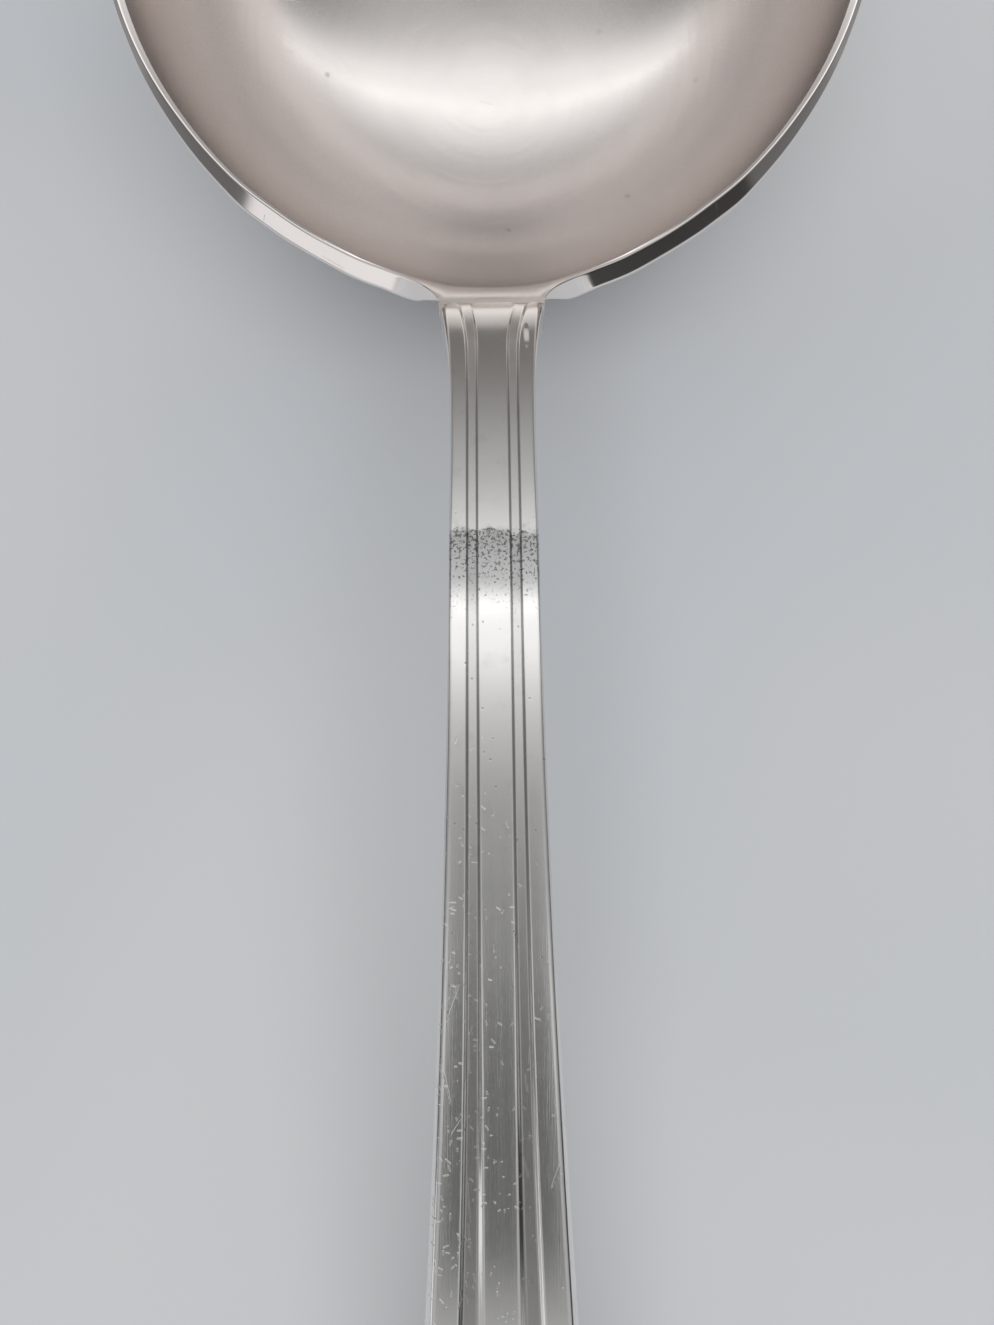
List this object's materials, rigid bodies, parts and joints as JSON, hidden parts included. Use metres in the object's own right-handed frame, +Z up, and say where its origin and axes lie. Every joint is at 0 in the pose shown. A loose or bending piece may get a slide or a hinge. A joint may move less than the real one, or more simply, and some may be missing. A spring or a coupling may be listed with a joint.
{
  "type": "soup ladle",
  "caption": "Plated soup ladle lying as on a table: deep round pressed bowl with a drawn-out ear, and a long arched handle with stamped flutes, brazed on with a lapped tongue.",
  "frame": {"origin": "centre of the worn flat under the bowl, on the table that the ladle lies on", "axes": "+Z up from the table, -Y along the handle toward its tip, +X to the right seen from above with the handle toward the viewer"},
  "size_m": [0.0982, 0.3077, 0.0565],
  "materials": {
    "bowl_plate": "worn satin silver plate with fine ring scratches",
    "handle_plate": "worn polished silver plate with scratches and nicks",
    "braze": "dressed hard solder"
  },
  "bodies": {
    "root": {"bowl": "bowl_plate", "handle": "handle_plate", "brazed_seam": "braze"}
  },
  "joints": []
}
